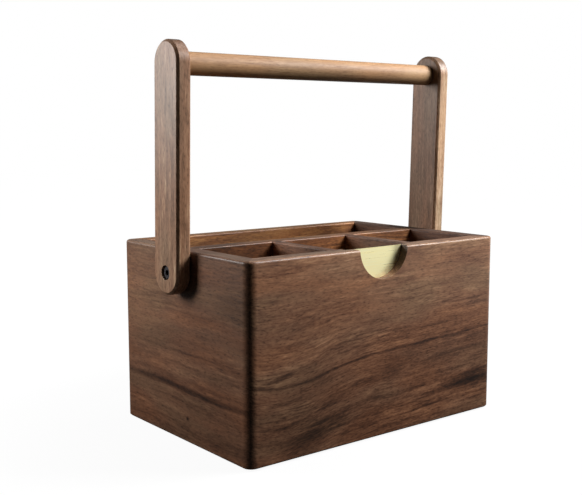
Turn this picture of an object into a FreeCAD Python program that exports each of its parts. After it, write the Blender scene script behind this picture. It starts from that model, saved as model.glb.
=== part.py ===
"""Walnut carry caddy: a mitred box with one long and three short compartments, a brass plate
behind a half-round notch in its front wall, and a handle that folds down on two pivot screws.

Millimetres.  X runs left to right along the front, Y runs from front to back, Z is up.
The origin is on the table, under the middle of the box."""
import FreeCAD, Part
import math
import os

Vector = FreeCAD.Vector
ORIGIN = Vector(0, 0, 0)
AXIS_X = Vector(1, 0, 0)
AXIS_Y = Vector(0, 1, 0)
AXIS_Z = Vector(0, 0, 1)

# ---------------------------------------------------------------- driving dimensions

# box: four mitred walls
box_width = 254.0              # along X
box_depth = 172.6              # along Y
wall_height = 145.7            # the wooden walls, without the pads
wall = 15.0                    # thickness of the four walls
corner_radius = 7.4            # upright outer corners
outer_round = 2.0              # outer edge of the rim
foot_chamfer = 1.0             # outer edge of the foot
inner_round = 1.0              # inner edge of the rim, and the tops of the dividers

# pads under the corners
pad_height = 1.5
pad_diameter = 8.0
pad_inset = 10.0               # middle of a pad to the outer faces of the walls

# loose tongues in the mitres
spline_thickness = 3.0
spline_width = 12.0
spline_from_inner_corner = 8.5
spline_below_rim = 22.0

# floor of the box
base_thickness = 8.0
base_above_foot = 7.0
groove_depth = 6.0
expansion_gap = 0.5            # room for the floor to swell, at each edge

# dividers
long_divider_thickness = 13.0
long_divider_y = 3.5           # its middle, behind the middle of the box
cross_divider_thickness = 8.0
dado_depth = 4.0
glue_gap = 0.05                # round a glued wooden tongue or tenon

# notch in the front wall, and its brass plate
notch_radius = 24.8
notch_above_rim = 1.0          # centre of the notch's circle
front_lip = 7.6                # wood in front of the plate
plate_thickness = 2.0
plate_margin = 7.0             # plate beyond the notch, all round
plate_below_rim = 0.3
plate_screw_diameter = 2.4
plate_screw_length = 4.0       # in the wood
plate_screw_head_diameter = 4.6
plate_screw_angles = (-140.0, -40.0)   # about the notch's centre

# handle
upright_thickness = 12.0
upright_width = 33.2
upright_chamfer = 1.8
pivot_to_rod = 152.0
pivot_below_rim = 16.2
handle_gap = 0.4               # box to upright
handle_lean = 1.6              # degrees forward of upright, as the handle stands
rod_diameter = 17.2
rod_end_chamfer = 0.4
tenon_diameter = 12.0
tenon_length = 8.0

# pivots
shoulder_diameter = 7.0
screw_head_diameter = 10.0
screw_head_height = 3.2
screw_head_chamfer = 0.5
screw_thread_diameter = 6.0
thread_short_of_insert = 0.5
hex_socket = 4.0               # across flats
hex_socket_depth = 1.8
counterbore_diameter = 10.9
counterbore_depth = 5.2
insert_diameter = 9.5
insert_hole_spare = 0.3        # drilled deeper than the insert
wood_behind_insert = 0.7       # between that hole and the long divider's dado
bush_wall = 1.2
thrust_washer_diameter = 18.0
thrust_washer_thickness = 1.0
friction_washer_diameter = 9.8
friction_washer_thickness = 0.5
running_gap = 0.05             # turning and sliding fits of the pivots
press_gap = 0.01               # insert, thread and bush in their holes

# ---------------------------------------------------------------- derived places

foot_z = pad_height
rim_z = foot_z + wall_height
base_z = foot_z + base_above_foot
floor_z = base_z + base_thickness
half_width = box_width / 2
half_depth = box_depth / 2
inner_x = half_width - wall
inner_y = half_depth - wall
beyond = 1.0                   # cutting tools stand this far out of the wood

long_divider_front = long_divider_y - long_divider_thickness / 2
long_divider_back = long_divider_y + long_divider_thickness / 2
bay_width = (2 * inner_x - 2 * cross_divider_thickness) / 3
cross_divider_x = (bay_width + cross_divider_thickness) / 2

notch_z = rim_z + notch_above_rim
plate_front = -half_depth + front_lip
plate_back = plate_front + plate_thickness
plate_radius = notch_radius + plate_margin
plate_screw_circle = notch_radius + plate_margin / 2
plate_screw_head_height = (plate_screw_head_diameter - plate_screw_diameter) / 2   # 90 degrees

pivot_z = rim_z - pivot_below_rim
insert_length = wall - dado_depth - wood_behind_insert - insert_hole_spare
screw_thread_length = insert_length - thread_short_of_insert
upright_inner = half_width + handle_gap
upright_outer = upright_inner + upright_thickness
counterbore_floor = upright_outer - counterbore_depth
thrust_washer_inner = half_width + running_gap
thrust_washer_outer = thrust_washer_inner + thrust_washer_thickness
bush_bore = shoulder_diameter + 2 * running_gap
bush_diameter = bush_bore + 2 * bush_wall
head_underside = counterbore_floor + running_gap + friction_washer_thickness
head_top = head_underside + screw_head_height

os.makedirs("parts", exist_ok=True)


# ---------------------------------------------------------------- helpers


def write(name, shape):
    """Check one node's shape and write it as STEP."""
    if not shape.isValid() or shape.Volume <= 0:
        raise RuntimeError(name + " is not a sound solid")
    shape.exportStep("parts/" + name + ".step")


def block(x0, x1, y0, y1, z0, z1):
    """A box between two corners."""
    return Part.makeBox(x1 - x0, y1 - y0, z1 - z0, Vector(x0, y0, z0))


def rod_x(diameter, x0, x1, z=0.0):
    """A round bar along X, over the middle of the box."""
    return Part.makeCylinder(diameter / 2, x1 - x0, Vector(x0, 0, z), AXIS_X)


def rod_y(radius, y0, y1, x, z):
    """A round bar along Y."""
    return Part.makeCylinder(radius, y1 - y0, Vector(x, y0, z), AXIS_Y)


def ring_x(outer, inner, x0, x1):
    """A washer or sleeve on the X axis."""
    return rod_x(outer, x0, x1).cut(rod_x(inner, x0 - beyond, x1 + beyond))


def near(a, b):
    return abs(a - b) < 0.001


def edges_where(shape, test):
    """The edges of a shape whose ends and middle all pass a test."""
    chosen = []
    for edge in shape.Edges:
        middle = edge.valueAt((edge.FirstParameter + edge.LastParameter) / 2)
        points = [vertex.Point for vertex in edge.Vertexes] + [middle]
        if all(test(point) for point in points):
            chosen.append(edge)
    return chosen


def mirrored_x(shape):
    """The same piece on the other side of the box."""
    return shape.mirror(ORIGIN, AXIS_X)


def mirrored_y(shape):
    return shape.mirror(ORIGIN, AXIS_Y)


# ---------------------------------------------------------------- box walls


def wall_ring():
    """The four walls in one, with round corners and eased edges, before the mitre cuts."""
    outer = block(-half_width, half_width, -half_depth, half_depth, foot_z, rim_z)
    corners = edges_where(outer, lambda p: near(abs(p.x), half_width) and near(abs(p.y), half_depth))
    outer = outer.makeFillet(corner_radius, corners)
    outer = outer.makeFillet(outer_round, edges_where(outer, lambda p: near(p.z, rim_z)))
    outer = outer.makeChamfer(foot_chamfer, edges_where(outer, lambda p: near(p.z, foot_z)))
    ring = outer.cut(block(-inner_x, inner_x, -inner_y, inner_y, foot_z - beyond, rim_z + beyond))
    inner_rim = edges_where(ring, lambda p: near(p.z, rim_z) and abs(p.x) < inner_x + 0.001
                            and abs(p.y) < inner_y + 0.001)
    return ring.makeFillet(inner_round, inner_rim)


def mitre_region(side):
    """The space that one wall fills, between the 45 degree mitre planes."""
    reach = wall + beyond
    if side in ("front", "back"):
        plan = [Vector(-inner_x, inner_y, 0), Vector(inner_x, inner_y, 0),
                Vector(inner_x + reach, inner_y + reach, 0),
                Vector(-inner_x - reach, inner_y + reach, 0)]
    else:
        plan = [Vector(inner_x, -inner_y, 0), Vector(inner_x + reach, -inner_y - reach, 0),
                Vector(inner_x + reach, inner_y + reach, 0), Vector(inner_x, inner_y, 0)]
    region = Part.Face(Part.makePolygon(plan + [plan[0]])).extrude(Vector(0, 0, 2 * rim_z))
    if side == "front":
        region = mirrored_y(region)
    if side == "left":
        region = mirrored_x(region)
    return region


def floor_plate(reach):
    """The floor, or with a longer reach the groove that it sits in."""
    return block(-inner_x - reach, inner_x + reach, -inner_y - reach, inner_y + reach,
                 base_z, floor_z)


def corner_spline(x_sign, y_sign, gap):
    """One tongue across a mitre, or with a gap the slot that it is glued into."""
    bottom = floor_z - gap
    top = rim_z - spline_below_rim + gap
    thickness = spline_thickness + 2 * gap
    width = spline_width + 2 * gap
    tongue = Part.makeBox(thickness, width, top - bottom, Vector(-thickness / 2, -width / 2, bottom))
    tongue.rotate(ORIGIN, AXIS_Z, 45)
    along = spline_from_inner_corner / math.sqrt(2)
    tongue.translate(Vector(inner_x + along, inner_y + along, 0))
    if x_sign < 0:
        tongue = mirrored_x(tongue)
    if y_sign < 0:
        tongue = mirrored_y(tongue)
    return tongue


def long_divider_tongue(gap):
    """The right end of the long divider inside the side wall, or with a gap its dado."""
    return block(inner_x - beyond, inner_x + dado_depth - glue_gap + gap,
                 long_divider_front - gap, long_divider_back + gap,
                 floor_z - gap, rim_z + (beyond if gap else 0))


def cross_divider_tongues(x, gap):
    """The front and rear ends of a cross divider in their dadoes, or the dadoes themselves."""
    x0 = x - cross_divider_thickness / 2 - gap
    x1 = x + cross_divider_thickness / 2 + gap
    reach = dado_depth - glue_gap + gap
    top = rim_z + (beyond if gap else 0)
    front = block(x0, x1, -inner_y - reach, -inner_y + beyond, floor_z - gap, top)
    rear = block(x0, x1, long_divider_front - beyond, long_divider_front + reach,
                 floor_z - gap, top)
    return front.fuse(rear)


def notch_cuts():
    """The notch right through the front wall, and the deeper rebate for the plate behind it."""
    notch = rod_y(notch_radius, -half_depth - beyond, -inner_y + beyond, 0, notch_z)
    rebate = rod_y(plate_radius + glue_gap, plate_front, -inner_y + beyond, 0, notch_z)
    return notch.fuse(rebate)


def plate_screw_places():
    """Where the screws pass through the plate's margin, as X and Z."""
    places = []
    for angle in plate_screw_angles:
        turn = math.radians(angle)
        places.append((plate_screw_circle * math.cos(turn),
                       notch_z + plate_screw_circle * math.sin(turn)))
    return places


def pivot_insert_hole():
    """Blind hole for the threaded insert in the right wall."""
    return rod_x(insert_diameter + 2 * press_gap,
                 half_width - insert_length - insert_hole_spare, half_width + beyond, pivot_z)


def make_walls():
    ring = wall_ring().cut(floor_plate(groove_depth))
    for x_sign in (-1, 1):
        for y_sign in (-1, 1):
            ring = ring.cut(corner_spline(x_sign, y_sign, glue_gap))
    front = ring.common(mitre_region("front")).cut(notch_cuts())
    for x_sign in (-1, 1):
        front = front.cut(cross_divider_tongues(x_sign * cross_divider_x, glue_gap))
    for x, z in plate_screw_places():
        front = front.cut(plate_screw(x, z, press_gap))
    right = ring.common(mitre_region("right")).cut(long_divider_tongue(glue_gap))
    right = right.cut(pivot_insert_hole())
    write("front_panel", front)
    write("back_panel", ring.common(mitre_region("back")))
    write("right_side_panel", right)
    write("left_side_panel", mirrored_x(right))


def make_corner_splines():
    splines = [corner_spline(x_sign, y_sign, 0) for x_sign in (-1, 1) for y_sign in (-1, 1)]
    write("corner_splines", Part.makeCompound(splines))


def make_foot_pads():
    pads = []
    for x_sign in (-1, 1):
        for y_sign in (-1, 1):
            place = Vector(x_sign * (half_width - pad_inset), y_sign * (half_depth - pad_inset), 0)
            pads.append(Part.makeCylinder(pad_diameter / 2, pad_height, place, AXIS_Z))
    write("foot_pads", Part.makeCompound(pads))


# ---------------------------------------------------------------- dividers


def eased_top(shape, direction):
    """Round the two long top edges of a divider that runs along X or Y."""
    along_x = direction == "x"
    length = shape.BoundBox.XLength if along_x else shape.BoundBox.YLength
    edges = [edge for edge in edges_where(shape, lambda p: near(p.z, rim_z))
             if near(edge.Length, length)]
    return shape.makeFillet(inner_round, edges)


def make_long_divider():
    """A board across the box, with a tongue at each end and two dadoes in its front face."""
    board = block(-inner_x, inner_x, long_divider_front, long_divider_back, floor_z, rim_z)
    board = eased_top(board, "x")
    tongue = long_divider_tongue(0).cut(block(inner_x - 2 * beyond, inner_x,
                                              long_divider_front - beyond,
                                              long_divider_back + beyond,
                                              floor_z - beyond, rim_z + beyond))
    board = board.fuse([tongue, mirrored_x(tongue)]).removeSplitter()
    for x_sign in (-1, 1):
        board = board.cut(cross_divider_tongues(x_sign * cross_divider_x, glue_gap))
    write("long_divider", board)


def make_cross_divider(name, x):
    """A short board from the front wall to the long divider."""
    x0 = x - cross_divider_thickness / 2
    x1 = x + cross_divider_thickness / 2
    open_part = block(x0, x1, -inner_y, long_divider_front, floor_z, rim_z)
    tongues = cross_divider_tongues(x, 0).cut(open_part)
    board = eased_top(open_part, "y").fuse(tongues).removeSplitter()
    write(name, board)


# ---------------------------------------------------------------- notch plate


def plate_screw(x, z, gap):
    """One countersunk screw, level with the plate's rear face, or with a gap its hole."""
    shank_radius = plate_screw_diameter / 2 + gap
    head_radius = plate_screw_head_diameter / 2 + gap
    shank = rod_y(shank_radius, plate_front - plate_screw_length - gap, plate_back, x, z)
    head = Part.makeCone(shank_radius, head_radius, plate_screw_head_height,
                         Vector(x, plate_back - plate_screw_head_height, z), AXIS_Y)
    return shank.fuse(head).removeSplitter()


def make_notch_plate():
    """A half-round brass plate on the floor of the rebate, level with the rim."""
    plate = rod_y(plate_radius, plate_front, plate_back, 0, notch_z)
    plate = plate.common(block(-plate_radius, plate_radius, plate_front, plate_back,
                               notch_z - plate_radius, rim_z - plate_below_rim))
    screws = []
    for x, z in plate_screw_places():
        plate = plate.cut(plate_screw(x, z, press_gap))
        screws.append(plate_screw(x, z, 0))
    write("notch_plate", plate)
    write("plate_screws", Part.makeCompound(screws))


# ---------------------------------------------------------------- handle


def in_handle(shape):
    """Turn a piece drawn upright about the pivot to where the handle stands."""
    shape.rotate(ORIGIN, AXIS_X, handle_lean)
    shape.translate(Vector(0, 0, pivot_z))
    return shape


def upright_blank():
    """A board with round ends about the pivot and the rod, its edges broken."""
    radius = upright_width / 2
    x = upright_inner
    foot = [Vector(x, radius, 0), Vector(x, 0, -radius), Vector(x, -radius, 0)]
    head = [Vector(x, -radius, pivot_to_rod), Vector(x, 0, pivot_to_rod + radius),
            Vector(x, radius, pivot_to_rod)]
    outline = Part.Wire([Part.Arc(*foot).toShape(), Part.makeLine(foot[2], head[0]),
                         Part.Arc(*head).toShape(), Part.makeLine(head[2], foot[0])])
    board = Part.Face(outline).extrude(Vector(upright_thickness, 0, 0))
    edges = edges_where(board, lambda p: near(p.x, upright_inner) or near(p.x, upright_outer))
    return board.makeChamfer(upright_chamfer, edges)


def right_upright():
    board = upright_blank()
    bore = rod_x(bush_diameter + 2 * press_gap, upright_inner - beyond, upright_outer + beyond)
    counterbore = rod_x(counterbore_diameter, counterbore_floor, upright_outer + beyond)
    washer_seat = rod_x(thrust_washer_diameter + 2 * press_gap,
                        upright_inner - beyond, thrust_washer_outer)
    socket = rod_x(tenon_diameter + 2 * glue_gap, upright_inner - beyond,
                   upright_inner + tenon_length + glue_gap, pivot_to_rod)
    return in_handle(board.cut([bore, counterbore, washer_seat, socket]))


def handle_rod():
    """The turned rod, with a tenon at each end."""
    rod = rod_x(rod_diameter, -upright_inner, upright_inner, pivot_to_rod)
    rod = rod.makeChamfer(rod_end_chamfer,
                          edges_where(rod, lambda p: near(abs(p.x), upright_inner)))
    tenons = rod_x(tenon_diameter, -upright_inner - tenon_length, upright_inner + tenon_length,
                   pivot_to_rod)
    return in_handle(rod.fuse(tenons).removeSplitter())


def pivot_bush():
    sleeve = ring_x(bush_diameter, bush_bore, thrust_washer_outer, counterbore_floor)
    return in_handle(sleeve)


def thrust_washer():
    return in_handle(ring_x(thrust_washer_diameter, bush_bore,
                            thrust_washer_inner, thrust_washer_outer))


def friction_washer():
    washer = ring_x(friction_washer_diameter, bush_bore,
                    head_underside - friction_washer_thickness, head_underside)
    washer.translate(Vector(0, 0, pivot_z))
    return washer


def pivot_screw():
    """A shoulder screw: thread in the insert, shoulder in the bush, head in the counterbore."""
    thread = rod_x(screw_thread_diameter, half_width - screw_thread_length, half_width)
    shoulder = rod_x(shoulder_diameter, half_width, head_underside)
    head = rod_x(screw_head_diameter, head_underside, head_top)
    head = head.makeChamfer(screw_head_chamfer, edges_where(head, lambda p: near(p.x, head_top)))
    corner_circle = hex_socket / math.sqrt(3)
    corners = [Vector(head_top - hex_socket_depth, corner_circle * math.cos(math.radians(60 * i)),
                      corner_circle * math.sin(math.radians(60 * i))) for i in range(7)]
    socket = Part.Face(Part.makePolygon(corners)).extrude(Vector(hex_socket_depth + beyond, 0, 0))
    screw = thread.fuse([shoulder, head]).removeSplitter().cut(socket)
    screw.translate(Vector(0, 0, pivot_z))
    return screw


def pivot_insert():
    """A threaded insert, level with the outside of the wall."""
    insert = ring_x(insert_diameter, screw_thread_diameter + 2 * press_gap,
                    half_width - insert_length, half_width)
    insert.translate(Vector(0, 0, pivot_z))
    return insert


def make_handle():
    write("handle_rod", handle_rod())
    pieces = {"upright": right_upright(), "pivot_bush": pivot_bush(),
              "thrust_washer": thrust_washer(), "friction_washer": friction_washer(),
              "pivot_screw": pivot_screw(), "pivot_insert": pivot_insert()}
    for name, piece in pieces.items():
        write("right_" + name, piece)
        write("left_" + name, mirrored_x(piece))


make_walls()
make_corner_splines()
make_foot_pads()
write("base_panel", floor_plate(groove_depth - expansion_gap))
make_long_divider()
make_cross_divider("left_cross_divider", -cross_divider_x)
make_cross_divider("right_cross_divider", cross_divider_x)
make_notch_plate()
make_handle()
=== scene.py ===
"""Walnut carry caddy with a folding handle and a brass plate behind its notch.

Metres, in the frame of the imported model: X to the right along the front, Y to the back, Z up."""
import math
import bmesh
import bpy
from mathutils import Matrix, Vector


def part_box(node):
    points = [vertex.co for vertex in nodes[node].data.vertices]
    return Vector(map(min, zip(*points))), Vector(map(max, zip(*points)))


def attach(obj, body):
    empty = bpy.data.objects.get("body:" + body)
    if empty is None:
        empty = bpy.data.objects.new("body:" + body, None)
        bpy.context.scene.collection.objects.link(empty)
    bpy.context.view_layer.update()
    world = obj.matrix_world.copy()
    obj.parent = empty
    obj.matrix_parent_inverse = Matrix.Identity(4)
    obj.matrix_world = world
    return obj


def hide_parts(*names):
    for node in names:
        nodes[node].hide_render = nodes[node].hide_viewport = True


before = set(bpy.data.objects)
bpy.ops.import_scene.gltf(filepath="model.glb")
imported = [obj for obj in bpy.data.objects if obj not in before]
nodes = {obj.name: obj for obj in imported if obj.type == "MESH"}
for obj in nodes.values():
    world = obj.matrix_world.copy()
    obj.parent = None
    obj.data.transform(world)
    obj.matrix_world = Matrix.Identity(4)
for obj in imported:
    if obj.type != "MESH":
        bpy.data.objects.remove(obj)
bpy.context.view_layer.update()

# ---------------------------------------------------------------- the four walls
# Boards of black walnut, 15 mm thick, planed, sanded and wiped with a satin oil.  The grain runs
# round the box, and the boards meet in splined mitres, so no end grain shows.  The oil leaves a
# soft sheen on the rounded edges; darker summer growth runs through the brown as slow bands.


def colour(hex_value):
    """An sRGB hex value as the linear colour that a shader takes."""
    channels = [int(hex_value[i:i + 2], 16) / 255 for i in (0, 2, 4)]
    linear = [c / 12.92 if c <= 0.04045 else ((c + 0.055) / 1.055) ** 2.4 for c in channels]
    return (*linear, 1.0)


def add(tree, kind, inputs=None, **settings):
    """Add one shader node with its settings; an input is given a value or another node's output."""
    made = tree.nodes.new("ShaderNode" + kind)
    for name, value in settings.items():
        setattr(made, name, value)
    for socket, value in (inputs or {}).items():
        if isinstance(value, bpy.types.NodeSocket):
            tree.links.new(value, made.inputs[socket])
        else:
            made.inputs[socket].default_value = value
    return made


def ramp(tree, factor, stops, interpolation="LINEAR"):
    """A colour ramp whose stops are (place, colour or grey value)."""
    made = add(tree, "ValToRGB", {"Fac": factor})
    made.color_ramp.interpolation = interpolation
    elements = made.color_ramp.elements
    while len(elements) < len(stops):
        elements.new(0.5)
    for element, (place, value) in zip(elements, stops):
        element.position = place
        element.color = value if isinstance(value, tuple) else (value, value, value, 1.0)
    return made


def new_material(name):
    """An empty material with its shader and its output joined."""
    made = bpy.data.materials.new(name)
    made.use_nodes = True
    tree = made.node_tree
    tree.nodes.clear()
    shader = add(tree, "BsdfPrincipled")
    add(tree, "OutputMaterial", {"Surface": shader.outputs[0]})
    return made, tree, shader


def dress(name, material):
    """Give a CAD node its finish."""
    piece = nodes[name]
    piece.data.materials.clear()
    piece.data.materials.append(material)
    return piece


MM = 0.001
AXES = {"x": Vector((1, 0, 0)), "y": Vector((0, 1, 0)), "z": Vector((0, 0, 1))}
# Length along the grain, width across it (mm) and strength of each layer of the figure.  Real
# fibres and pores are finer than fibre and fleck, which are drawn as coarse as they show.
streak = (150.0, 4.2, 0.52)
growth = (60.0, 1.7, 0.42)
mottle = (19.0, 3.0, 0.40)
fibre = (11.0, 1.25, 0.55)
fleck = (3.6, 0.95, 0.42)
patch = (52.0, 15.0, 0.46)
# Sizes (mm, along and across the grain) over which the growth lines bend and fray, and over
# which the figure's strength and the wood's hue change.
bend_size = (95, 34, 34)
fray_size = (26, 9, 9)
strength_size = (75, 22, 22)
hue_size = (110, 26, 26)
flow_range = 40.0              # mm, the most that a growth line climbs or sinks along a board
cool_cast = (0.93, 1.02, 1.03, 1.0)    # what the hue does to red, green and blue
even_cast = (1.0, 1.0, 1.0, 1.0)
warm_cast = (1.07, 0.99, 0.92, 1.0)
# painted shade: what greying does to red, green and blue on level faces on top
top_shade_cast = (0.64, 0.74, 0.86, 1.0)
end_grain_shade = 0.42         # brightness of the wood where its fibres end
pore_depth = 0.06              # mm
oiled_gloss = 0.28             # oil soaks in, so it mirrors less than the 0.5 of a lacquer


def mark(tree, along, height, middle, size, rise, depth):
    """One lens-shaped mark in the wood (mm, degrees); depth above 0 darkens, below 0 pales."""
    offset = add(tree, "Math", {0: along, 1: middle[0]}, operation="SUBTRACT").outputs[0]
    slope = -math.tan(math.radians(rise))
    sunk = add(tree, "Math", {0: offset, 1: slope, 2: height}, operation="MULTIPLY_ADD")
    drop = add(tree, "Math", {0: sunk.outputs[0], 1: middle[1]}, operation="SUBTRACT")
    shape = add(tree, "CombineXYZ", {0: offset, 1: drop.outputs[0]})
    scaled = add(tree, "VectorMath", {0: shape.outputs[0], 1: (1 / size[0], 1 / size[1], 0)},
                 operation="MULTIPLY")
    away = add(tree, "VectorMath", {0: scaled.outputs[0]}, operation="LENGTH")
    return add(tree, "MapRange", {"Value": away.outputs["Value"], "From Min": 1.0, "From Max": 0.0,
                                  "To Min": 0.0, "To Max": -depth},
               interpolation_type="SMOOTHSTEP").outputs[0]


def oiled_walnut(name, grain, across, shift, bands, tones, flow=((0, 0), (1, 0)), marks=(),
                 wander=2.5, board=150.0, length=254.0, contrast=1.0, rough=(0.46, 0.36),
                 rim_rough=0.74, pore_shade=0.66):
    """Walnut whose grain runs along one axis.

    bands: tone over the board's width; flow: climb in mm over its length; both by shares 0 to 1.
    End grain drinks more oil than the faces, so it is darker.  Level faces on top are painted
    greyer and darker, as shade, and have rim_rough as their roughness.
    pore_shade: brightness of the wood in its pores."""
    material, tree, shader = new_material(name)
    thickness = ({"x", "y", "z"} - {grain, across}).pop()
    turn = Matrix((AXES[grain], AXES[thickness], AXES[across]))
    if turn.determinant() < 0:
        turn = Matrix((AXES[grain], -AXES[thickness], AXES[across]))
    place = add(tree, "TexCoord").outputs["Object"]
    turned = add(tree, "Mapping", {"Vector": place, "Rotation": turn.to_euler(),
                                   "Scale": (1 / MM, 1 / MM, 1 / MM)}).outputs[0]
    split = add(tree, "SeparateXYZ", {0: turned})
    along, width = split.outputs[0], split.outputs[2]
    shifted = add(tree, "VectorMath", {0: turned, 1: shift}, operation="ADD").outputs[0]

    def noise(source, sizes, detail, roughness=0.55):
        scaled = add(tree, "VectorMath", {0: source, 1: tuple(1 / size for size in sizes)},
                     operation="MULTIPLY")
        return add(tree, "TexNoise", {"Vector": scaled.outputs[0], "Scale": 1.0, "Detail": detail,
                                      "Roughness": roughness}).outputs[0]

    share = add(tree, "MapRange", {"Value": along, "From Min": -length / 2,
                                   "From Max": length / 2})
    climb = add(tree, "FloatCurve", {"Value": share.outputs[0]})
    points = climb.mapping.curves[0].points
    while len(points) < len(flow):
        points.new(0.5, 0.5)
    for point, (at, height) in zip(points, flow):
        point.location = (at, 0.5 + height / flow_range)
    climb.mapping.update()
    level = add(tree, "Math", {0: climb.outputs[0], 1: 0.5}, operation="SUBTRACT")
    # The climb fades towards the upper edge of the board.
    calm = add(tree, "MapRange", {"Value": width, "From Min": 0.5 * board, "From Max": 0.85 * board,
                                  "To Min": -flow_range, "To Max": -0.15 * flow_range},
               interpolation_type="SMOOTHSTEP")
    flowed = add(tree, "Math", {0: level.outputs[0], 1: calm.outputs[0], 2: width},
                 operation="MULTIPLY_ADD")
    bend = add(tree, "MapRange", {"Value": noise(shifted, bend_size, 1.0),
                                  "To Min": -2 * wander, "To Max": 2 * wander})
    ragged = add(tree, "MapRange", {"Value": noise(shifted, fray_size, 2.0),
                                    "To Min": -1.0, "To Max": 1.0})
    bends = add(tree, "Math", {0: bend.outputs[0], 1: ragged.outputs[0]}, operation="ADD")
    height = add(tree, "Math", {0: flowed.outputs[0], 1: bends.outputs[0]},
                 operation="ADD").outputs[0]
    moved = add(tree, "SeparateXYZ", {0: shifted})
    lines = add(tree, "CombineXYZ", {0: moved.outputs[0], 1: moved.outputs[1],
                                     2: height}).outputs[0]

    def layer(size, detail, roughness=0.55):
        return noise(lines, (size[0], size[1], size[1]), detail, roughness)

    fibres, flecks = layer(fibre, 2.0), layer(fleck, 1.0)
    strong = add(tree, "MapRange", {"Value": noise(shifted, strength_size, 1.0), "From Min": 0.35,
                                    "From Max": 0.65, "To Min": 0.55, "To Max": 1.45}).outputs[0]
    place_across = add(tree, "Math", {0: height, 1: board}, operation="DIVIDE")
    tone = ramp(tree, place_across.outputs[0], bands, "B_SPLINE").outputs[0]
    for middle, size, rise, depth in marks:
        tone = add(tree, "Math", {0: tone, 1: mark(tree, along, height, middle, size, rise, depth)},
                   operation="ADD").outputs[0]
    for texture, amount, masked in ((layer(streak, 4.0, 0.6), streak[2], True),
                                    (layer(growth, 2.0), growth[2], True),
                                    (layer(mottle, 2.0), mottle[2], True),
                                    (fibres, fibre[2], True), (flecks, fleck[2], False),
                                    (layer(patch, 2.0), patch[2], False)):
        centred = add(tree, "Math", {0: texture, 1: 0.5}, operation="SUBTRACT").outputs[0]
        if masked:
            centred = add(tree, "Math", {0: centred, 1: strong}, operation="MULTIPLY").outputs[0]
        tone = add(tree, "Math", {0: centred, 1: amount * contrast, 2: tone},
                   operation="MULTIPLY_ADD").outputs[0]
    wood = ramp(tree, tone, tones)
    hue = add(tree, "MapRange", {"Value": noise(shifted, hue_size, 2.0), "From Min": 0.38,
                                 "From Max": 0.62})
    cast = ramp(tree, hue.outputs[0], [(0.0, cool_cast), (0.5, even_cast), (1.0, warm_cast)])
    tinted = add(tree, "Mix", {"Factor": 1.0, 6: wood.outputs[0], 7: cast.outputs[0]},
                 data_type="RGBA", blend_type="MULTIPLY").outputs[2]
    pore = add(tree, "MapRange", {"Value": flecks, "From Min": 0.27, "From Max": 0.40,
                                  "To Min": pore_shade, "To Max": 1.0})
    outwards = add(tree, "TexCoord").outputs["Normal"]
    facing = add(tree, "VectorMath", {0: outwards, 1: AXES[grain]}, operation="DOT_PRODUCT")
    along_grain = add(tree, "Math", {0: facing.outputs["Value"]}, operation="ABSOLUTE")
    soaked = add(tree, "MapRange", {"Value": along_grain.outputs[0], "From Min": 0.45,
                                    "From Max": 1.0, "To Min": 1.0, "To Max": end_grain_shade})
    shade = add(tree, "Math", {0: pore.outputs[0], 1: soaked.outputs[0]}, operation="MULTIPLY")
    finished = add(tree, "Mix", {"Factor": 1.0, 6: tinted, 7: shade.outputs[0]},
                   data_type="RGBA", blend_type="MULTIPLY")
    # Painted shade: level faces on top are made greyer and darker; they are also rougher.
    upward = add(tree, "VectorMath", {0: outwards, 1: AXES["z"]}, operation="DOT_PRODUCT")
    level_top = add(tree, "MapRange", {"Value": upward.outputs["Value"], "From Min": 0.90,
                                    "From Max": 0.99})
    top_shaded = add(tree, "Mix", {"Factor": level_top.outputs[0], 6: finished.outputs[2],
                               7: top_shade_cast}, data_type="RGBA", blend_type="MULTIPLY")
    tree.links.new(top_shaded.outputs[2], shader.inputs["Base Color"])
    gloss = add(tree, "MapRange", {"Value": fibres, "From Min": 0.3, "From Max": 0.7,
                                   "To Min": rough[0], "To Max": rough[1]})
    dulled = add(tree, "Mix", {"Factor": level_top.outputs[0], 2: gloss.outputs[0], 3: rim_rough})
    tree.links.new(dulled.outputs[0], shader.inputs["Roughness"])
    relief = add(tree, "Bump", {"Height": flecks, "Strength": 0.35, "Distance": pore_depth * MM})
    tree.links.new(relief.outputs[0], shader.inputs["Normal"])
    shader.inputs["IOR"].default_value = 1.5
    shader.inputs["Specular IOR Level"].default_value = oiled_gloss
    return material


walnut_tones = [(0.0, colour("1d110b")), (0.2, colour("3a251a")), (0.38, colour("563929")),
                (0.55, colour("704e3a")), (0.75, colour("8c664c")), (1.0, colour("a98264"))]
# The growth lines of the front board dip left of the middle and climb gently to the right.
front_flow = [(0.0, -7.0), (0.08, -11.5), (0.2, -10.5), (0.32, -5.0), (0.45, -1.0), (0.6, 1.5),
              (0.78, 4.0), (1.0, 6.0)]
# The bands darken the board towards the bottom, partly as growth and partly as painted shade.
front_bands = [(0.0, 0.45), (0.08, 0.42), (0.16, 0.46), (0.25, 0.50), (0.34, 0.46), (0.42, 0.51),
               (0.52, 0.56), (0.66, 0.60), (0.82, 0.64), (1.0, 0.68)]
# Most marks follow the figure.  The darker mark at the top left and the paler one across the top
# middle paint the sheen that lightens the top towards the right; the darker mark at the low right
# is partly figure and partly painted shade.
front_marks = [((0, 67), (220, 1.7), 0, 0.30), ((-100, 74), (27, 3.0), 12, 0.26),
               ((60, 78.5), (70, 2.0), 0, 0.16), ((12, 50), (16, 11), 0, 0.10),
               ((96, 26), (52, 9.0), 0, 0.42), ((88, 53), (60, 3.0), 0, 0.14),
               ((45, 14), (34, 1.8), 0, 0.20), ((-70, 24), (46, 13), 6, 0.20),
               ((-22, 111), (36, 5), 0, 0.08), ((100, 103), (24, 9), 0, -0.14),
               ((-80, 40), (60, 2.0), 7, 0.14), ((80, 8), (60, 4), 0, -0.12),
               ((-100, 122), (50, 22), 0, 0.06), ((98, 19), (44, 9), 0, 0.10),
               ((16, 122), (90, 24), 0, -0.05)]
side_bands = [(0.0, 0.46), (0.07, 0.46), (0.14, 0.53), (0.22, 0.50), (0.36, 0.50), (0.6, 0.54),
              (1.0, 0.54)]
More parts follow.
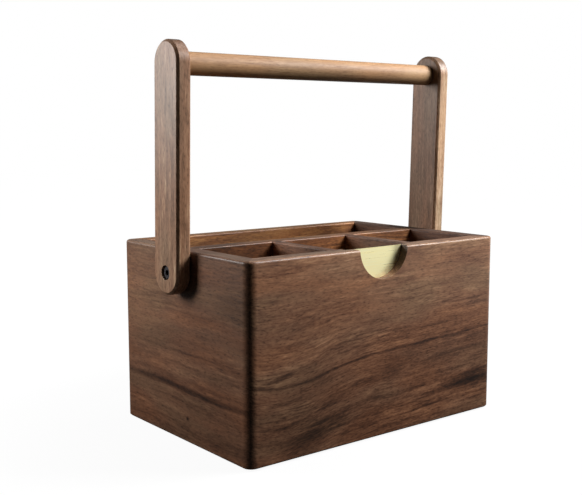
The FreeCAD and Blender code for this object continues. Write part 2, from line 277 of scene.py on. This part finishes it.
# Most marks follow the figure; the paler mark at the far top paints sheen, and the darker one at
# the near top paints the upright's shadow.
side_marks = [((0, 42), (170, 4.2), 0, 0.34), ((-10, 70), (120, 1.6), 0, 0.16),
              ((-8, 21), (3.0, 2.6), 0, 0.40), ((20, 32), (60, 1.4), 0, 0.10),
              ((0, 8), (260, 13), 0, 0.09), ((40, 90), (50, 9), 0, -0.07),
              ((62, 118), (60, 34), 0, -0.11), ((-74, 120), (40, 30), 0, 0.10)]
plain_bands = [(0.0, 0.5), (0.5, 0.5), (1.0, 0.5)]
front_walnut = oiled_walnut("walnut_front_board", "x", "z", (0, 0, 0), front_bands,
                            walnut_tones, flow=front_flow, marks=front_marks, wander=1.2,
                            contrast=0.88)
dress("front_panel", front_walnut)
# Painted light: a lighter, warmer walnut on the back board and the long divider, for the light that
# falls into the box onto their front faces.  On the back board one mark paints shade at the left
# end and another paints light right of the middle.
lit_walnut_tones = [(0.0, colour("1d110a")), (0.2, colour("3a2416")), (0.38, colour("583823")),
              (0.55, colour("744c31")), (0.75, colour("92653f")), (1.0, colour("b08357"))]
lit_back_bands = [(0.0, 0.54), (0.5, 0.58), (1.0, 0.64)]
dress("back_panel", oiled_walnut("walnut_back_board", "x", "z", (900, 0, 0), lit_back_bands,
                                 lit_walnut_tones, flow=((0, -4), (1, 4)), wander=1.6, contrast=0.85,
                                 marks=[((-70, 135), (70, 26), 0, 0.06),
                                        ((20, 135), (70, 26), 0, -0.09)]))
dress("left_side_panel", oiled_walnut("walnut_left_board", "y", "z", (2900, 0, 0), side_bands,
                                      walnut_tones, marks=side_marks, wander=1.3,
                                      length=172.0, contrast=0.5))
# Painted shade: the right wall and the right upright are darker, for their inner faces, which face
# away from the lamps.
painted_shade_bands = [(0.0, 0.36), (0.5, 0.38), (1.0, 0.34)]
dress("right_side_panel", oiled_walnut("walnut_right_board", "y", "z", (2100, 0, 0), painted_shade_bands,
                                       walnut_tones, flow=((0, 4), (1, -4)), wander=1.5,
                                       length=172.0, contrast=0.65))

# ---------------------------------------------------------------- dividers and floor
# Thinner boards of the same walnut and oil, housed in grooves of the walls, with eased top
# edges.  The long divider parts the rear compartment from three short ones; the floor of the
# box lies loose in a groove, so that it can swell.

# The long divider takes the painted lighter tones, and its mark paints shade at its left end.
dress("long_divider", oiled_walnut("walnut_long_divider", "x", "z", (3300, 0, 0), plain_bands,
                                   lit_walnut_tones, flow=((0, -1), (1, 3)),
                                   marks=[((-102, 128), (62, 70), 0, 0.24)]))
for number, side in enumerate(("left", "right")):
    dress(side + "_cross_divider", oiled_walnut("walnut_" + side + "_cross_divider", "y", "z",
                                                (4100 + 900 * number, 0, 0), plain_bands,
                                                walnut_tones))
dress("base_panel", oiled_walnut("walnut_floor_board", "x", "y", (6100, 0, 0), plain_bands,
                                 walnut_tones))

# ---------------------------------------------------------------- handle
# Two uprights with round ends and a turned rod, glued into blind holes, in a lighter walnut.
# The right one is painted darker, as shade on its inner face, and has a painted highlight along
# its front edge, which faces the lamp at the front right.  The rod is sanded finer, so its pores
# hardly show; a mark paints shade on its middle, most on its lower half, and another pales its
# right end.

handle_tones = [(0.0, colour("47301f")), (0.3, colour("70513b")), (0.6, colour("967259")),
                (0.85, colour("b49476")), (1.0, colour("ccb094"))]
rod_tones = [(0.0, colour("4a3321")), (0.3, colour("7d5d40")), (0.6, colour("a98662")),
             (0.85, colour("c2a07b")), (1.0, colour("d2b594"))]
# painted highlight along the right upright's front edge
front_edge_highlight = [((206, -18.9), (400, 2.4), -1.6, -0.46)]
same_point = 0.01 * MM
round_over_width = 1.2 * MM
for side, place, bands, marks in (("left", 7100, plain_bands, ()),
                                  ("right", 7900, painted_shade_bands, front_edge_highlight)):
    dress(side + "_upright", oiled_walnut("walnut_" + side + "_upright", "z", "y", (place, 0, 0),
                                          bands, handle_tones, marks=marks, wander=1.0,
                                          contrast=0.9, rim_rough=0.5))
    # A cutter rounds all edges over, and the modifiers soften its chamfers into curves.
    rounded = nodes[side + "_upright"]
    weld = rounded.modifiers.new("one_skin", "WELD")
    weld.merge_threshold = same_point
    whole_faces = rounded.modifiers.new("whole_faces", "DECIMATE")
    whole_faces.decimate_type = "DISSOLVE"
    whole_faces.angle_limit = math.radians(1)
    round_over = rounded.modifiers.new("round_over", "BEVEL")
    round_over.width = round_over_width
    round_over.segments = 4
    round_over.limit_method = "ANGLE"
    round_over.angle_limit = math.radians(30)
    rounded.modifiers.new("flat_faces", "WEIGHTED_NORMAL")
# A mark paints shade on the rod's middle, most on its lower half; another pales its right end.
dress("handle_rod", oiled_walnut("walnut_rod", "x", "z", (8900, 0, 0), plain_bands,
                                 rod_tones, wander=1.0, contrast=0.45, rough=(0.60, 0.52),
                                 rim_rough=0.60, pore_shade=0.90,
                                 marks=[((8, 280), (100, 13), 0, 0.15),
                                        ((118, 280), (45, 15), 0, -0.08)]))

# ---------------------------------------------------------------- brass plate and its screws
# A 2 mm half disc of rolled brass, brushed fine and lacquered, screwed into the rebate behind
# the notch from inside.  It mirrors its surroundings softly, as pale yellow.


def worked_finish(name, colours, sizes, rough, metallic=0.0, relief=0.0):
    """A finish that varies over marks of the given sizes (mm along x, y, z); relief in mm."""
    material, tree, shader = new_material(name)
    place = add(tree, "VectorMath", {0: add(tree, "TexCoord").outputs["Object"],
                                     1: tuple(1 / (size * MM) for size in sizes)},
                operation="MULTIPLY")
    marks = add(tree, "TexNoise", {"Vector": place.outputs[0], "Scale": 1.0, "Detail": 3.0})
    tint = ramp(tree, marks.outputs[0], [(0.3, colour(colours[0])), (0.7, colour(colours[1]))])
    gloss = add(tree, "MapRange", {"Value": marks.outputs[0], "From Min": 0.3, "From Max": 0.7,
                                   "To Min": rough[0], "To Max": rough[1]})
    tree.links.new(tint.outputs[0], shader.inputs["Base Color"])
    tree.links.new(gloss.outputs[0], shader.inputs["Roughness"])
    if relief:
        bump = add(tree, "Bump", {"Height": marks.outputs[0], "Distance": relief * MM})
        tree.links.new(bump.outputs[0], shader.inputs["Normal"])
    shader.inputs["Metallic"].default_value = metallic
    return material


# Brush lines run along the plate; real ones are finer, and drawn as coarse as they show.
brass = worked_finish("satin_brass", ("fff3b4", "fffacb"), (30.0, 0.5, 0.5), (0.27, 0.34), 0.6)
dress("notch_plate", brass)

# Two countersunk screws of turned brass with a cross recess hold the plate.
scene = bpy.context.scene
screw_steps = 48
shank_radius = 1.2 * MM
head_radius = 2.3 * MM
head_height = 1.1 * MM
head_ease = 0.12 * MM          # sharp edge taken off
recess_arm = 1.3 * MM          # cross recess
recess_width = 0.32 * MM       # half of an arm's width
recess_depth = 0.8 * MM
recess_taper = 0.55            # size of the recess's floor against its mouth
low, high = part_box("plate_screws")
screw_brass = worked_finish("turned_brass", ("c9ae62", "dcc684"), (0.5, 4.0, 0.5), (0.26, 0.36),
                            1.0)


def raise_faces(edit, faces, height, widening):
    """Extrude faces along Z and widen them about the axis."""
    made = bmesh.ops.extrude_face_region(edit, geom=faces)["geom"]
    corners = [part for part in made if isinstance(part, bmesh.types.BMVert)]
    bmesh.ops.translate(edit, vec=(0, 0, height), verts=corners)
    bmesh.ops.scale(edit, vec=(widening, widening, 1), verts=corners)
    return [part for part in made if isinstance(part, bmesh.types.BMFace)]


edit = bmesh.new()
bmesh.ops.create_circle(edit, cap_ends=True, segments=screw_steps, radius=shank_radius)
top = raise_faces(edit, edit.faces[:], high[1] - low[1] - head_height, 1.0)
top = raise_faces(edit, top, head_height - head_ease, head_radius / shank_radius)
top = raise_faces(edit, top, head_ease, 1 - head_ease / head_radius)
for across in (AXES["x"], AXES["y"]):
    for reach in (-recess_arm, -recess_width, recess_width, recess_arm):
        around = {edge for face in top for edge in face.edges}
        corners = {corner for face in top for corner in face.verts}
        cut = bmesh.ops.bisect_plane(edit, geom=[*top, *around, *corners],
                                     plane_co=across * reach, plane_no=across)
        top = [part for part in cut["geom"] if isinstance(part, bmesh.types.BMFace)]
recess = []
for face in top:
    near, far = sorted(abs(place) for place in face.calc_center_median()[:2])
    if near < recess_width and far < recess_arm:
        recess.append(face)
raise_faces(edit, recess, -recess_depth, recess_taper)
lie_back = Matrix.Rotation(math.radians(-90), 4, "X")
first_place = (low[0] + head_radius, low[1], low[2] + head_radius)
bmesh.ops.transform(edit, matrix=Matrix.Translation(first_place) @ lie_back, verts=edit.verts)
second = bmesh.ops.duplicate(edit, geom=edit.verts[:] + edit.edges[:] + edit.faces[:])["geom"]
bmesh.ops.translate(edit, vec=(high[0] - low[0] - 2 * head_radius, 0, 0),
                    verts=[part for part in second if isinstance(part, bmesh.types.BMVert)])
bmesh.ops.recalc_face_normals(edit, faces=edit.faces)
screw_mesh = bpy.data.meshes.new("cross_head_screws")
edit.to_mesh(screw_mesh)
edit.free()
cross_head_screws = bpy.data.objects.new("cross_head_screws", screw_mesh)
scene.collection.objects.link(cross_head_screws)
screw_mesh.materials.append(screw_brass)
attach(cross_head_screws, "case")
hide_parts("plate_screws")

# ---------------------------------------------------------------- pivots
# A black socket screw on each side has a smooth shoulder, on which a nylon bush turns with the
# upright.  A zinc-plated insert in the wall holds its thread; a washer under its head drags.

# Oxide leaves the steel near black, with a dull glint where the head catches the light.
black_steel = worked_finish("black_oxide_steel", ("1a1a1c", "6e6a6c"), (0.7, 0.7, 0.7),
                            (0.30, 0.46), 1.0)
# Zinc is a bright grey with faint clouds, nylon a milky white without gloss.
zinc = worked_finish("zinc_plated_steel", ("a6abaf", "c8cccf"), (1.6, 1.6, 1.6), (0.34, 0.46), 1.0)
nylon = worked_finish("moulded_nylon", ("dcd8cc", "e9e6dc"), (5.0, 5.0, 5.0), (0.45, 0.56))
for side in ("left", "right"):
    dress(side + "_pivot_screw", black_steel)
    dress(side + "_pivot_insert", zinc)
    dress(side + "_friction_washer", zinc)
    dress(side + "_pivot_bush", nylon)
    dress(side + "_thrust_washer", nylon)

# ---------------------------------------------------------------- splines and pads
# Beech tongues, sawn and pale, glued in the mitres, and thin pads of black rubber under the
# corners, matt as an eraser, that keep the box off the table.

dress("corner_splines", worked_finish("sawn_beech", ("b8905f", "d6b68a"), (0.9, 0.9, 12.0),
                                      (0.55, 0.70), relief=0.02))
dress("foot_pads", worked_finish("pad_rubber", ("1d1d1d", "2d2d2c"), (0.9, 0.9, 0.9),
                                 (0.72, 0.86), relief=0.03))

# ---------------------------------------------------------------- studio
# A white floor that keeps the object's shadow, a soft lamp to the right of the front, one behind
# to the left and one above.  Brass and oil mirror white in front, behind and above.

floor_reach = 4.0
edit = bmesh.new()
bmesh.ops.create_grid(edit, x_segments=1, y_segments=1, size=floor_reach)
floor_mesh = bpy.data.meshes.new("studio_floor")
edit.to_mesh(floor_mesh)
edit.free()
floor = bpy.data.objects.new("studio_floor", floor_mesh)
scene.collection.objects.link(floor)
floor_paper, tree, shader = new_material("white_paper")
path = add(tree, "LightPath")
shader.inputs["Base Color"].default_value = colour("3c3c3c")
shader.inputs["Roughness"].default_value = 1.0
shader.inputs["Specular IOR Level"].default_value = 0.0
place = add(tree, "TexCoord").outputs["Object"]
distance = add(tree, "VectorMath", {0: place}, operation="LENGTH")
level = add(tree, "MapRange", {"Value": distance.outputs["Value"], "From Min": 0.2, "From Max": 0.8,
                               "To Min": 0.94, "To Max": 1.0})
sideways = add(tree, "SeparateXYZ", {0: place})
to_right = add(tree, "MapRange", {"Value": sideways.outputs[0], "From Min": 0.35, "From Max": 0.62})
mirrored = add(tree, "Math", {0: to_right.outputs[0], 1: path.outputs["Is Glossy Ray"]},
               operation="MULTIPLY")
seen = add(tree, "Math", {0: mirrored.outputs[0], 1: path.outputs["Is Camera Ray"]},
           operation="MAXIMUM")
shine = add(tree, "Math", {0: seen.outputs[0], 1: level.outputs[0]}, operation="MULTIPLY")
glow = add(tree, "Emission", {"Color": colour("ffffff"), "Strength": shine.outputs[0]})
shaded_white = add(tree, "AddShader", {0: shader.outputs[0], 1: glow.outputs[0]})
output = next(node for node in tree.nodes if node.bl_idname == "ShaderNodeOutputMaterial")
tree.links.new(shaded_white.outputs[0], output.inputs["Surface"])
floor_mesh.materials.append(floor_paper)

# The room is white to the camera.  Gloss sees it white only in the zones below, and faint light
# comes from the rest.
room_light = 0.008
world = bpy.data.worlds.new("studio")
scene.world = world
world.use_nodes = True
tree = world.node_tree
tree.nodes.clear()
path = add(tree, "LightPath")
seen = add(tree, "Math", {0: path.outputs["Is Camera Ray"], 1: path.outputs["Is Transmission Ray"]},
           operation="MAXIMUM")
direction = add(tree, "SeparateXYZ", {0: add(tree, "TexCoord").outputs["Generated"]})
behind = add(tree, "MapRange", {"Value": direction.outputs[1], "From Min": 0.74, "From Max": 0.92,
                                 "To Max": 0.75})
to_right = add(tree, "MapRange", {"Value": direction.outputs[0], "From Min": 0.35,
                                  "From Max": 0.62, "To Max": 1.0})
in_front = add(tree, "MapRange", {"Value": direction.outputs[1], "From Min": 0.0,
                                  "From Max": -0.3})
front_right = add(tree, "Math", {0: to_right.outputs[0], 1: in_front.outputs[0]},
                  operation="MULTIPLY")
above = add(tree, "MapRange", {"Value": direction.outputs[2], "From Min": 0.45, "From Max": 0.75,
                               "To Max": 0.4})
beside = add(tree, "Math", {0: behind.outputs[0], 1: front_right.outputs[0]},
             operation="MAXIMUM")
around = add(tree, "Math", {0: beside.outputs[0], 1: above.outputs[0]}, operation="MAXIMUM")
mirrored = add(tree, "Math", {0: path.outputs["Is Glossy Ray"], 1: around.outputs[0]},
               operation="MULTIPLY")
white = add(tree, "Math", {0: seen.outputs[0], 1: mirrored.outputs[0]}, operation="MAXIMUM")
strength = add(tree, "MapRange", {"Value": white.outputs[0], "To Min": room_light, "To Max": 1.0})
background = add(tree, "Background", {"Color": colour("ffffff"),
                                      "Strength": strength.outputs[0]})
add(tree, "OutputWorld", {"Surface": background.outputs[0]})


def soft_lamp(name, place, target, width, height, watts):
    """A rectangular soft lamp at a place, facing a target."""
    data = bpy.data.lights.new(name, "AREA")
    data.shape = "RECTANGLE"
    data.size = width
    data.size_y = height
    data.energy = watts
    lamp = bpy.data.objects.new(name, data)
    scene.collection.objects.link(lamp)
    lamp.location = place
    lamp.rotation_euler = (Vector(target) - Vector(place)).to_track_quat("-Z", "Y").to_euler()


middle = (0, 0, 0.12)
soft_lamp("right_front_softbox", (0.585, -0.44, 0.73), middle, 0.4, 0.4, 17.2)
soft_lamp("high_softbox", (0.40, -0.06, 1.25), middle, 0.5, 0.5, 4.4)
soft_lamp("left_behind_softbox", (-0.54, 0.38, 0.36), middle, 0.24, 0.3, 4.4)

# ---------------------------------------------------------------- camera
# A little above the rim's height, off the corner between the front and the left side.

camera_data = bpy.data.cameras.new("camera")
camera = bpy.data.objects.new("camera", camera_data)
scene.collection.objects.link(camera)
camera_data.lens = 58.49
camera_data.sensor_width = 36.0
camera.location = (-0.4943, -0.5957, 0.2360)
camera.rotation_euler = Vector((0.6168, 0.7772, -0.1245)).to_track_quat("-Z", "Y").to_euler()
scene.camera = camera
scene.view_settings.view_transform = "Standard"
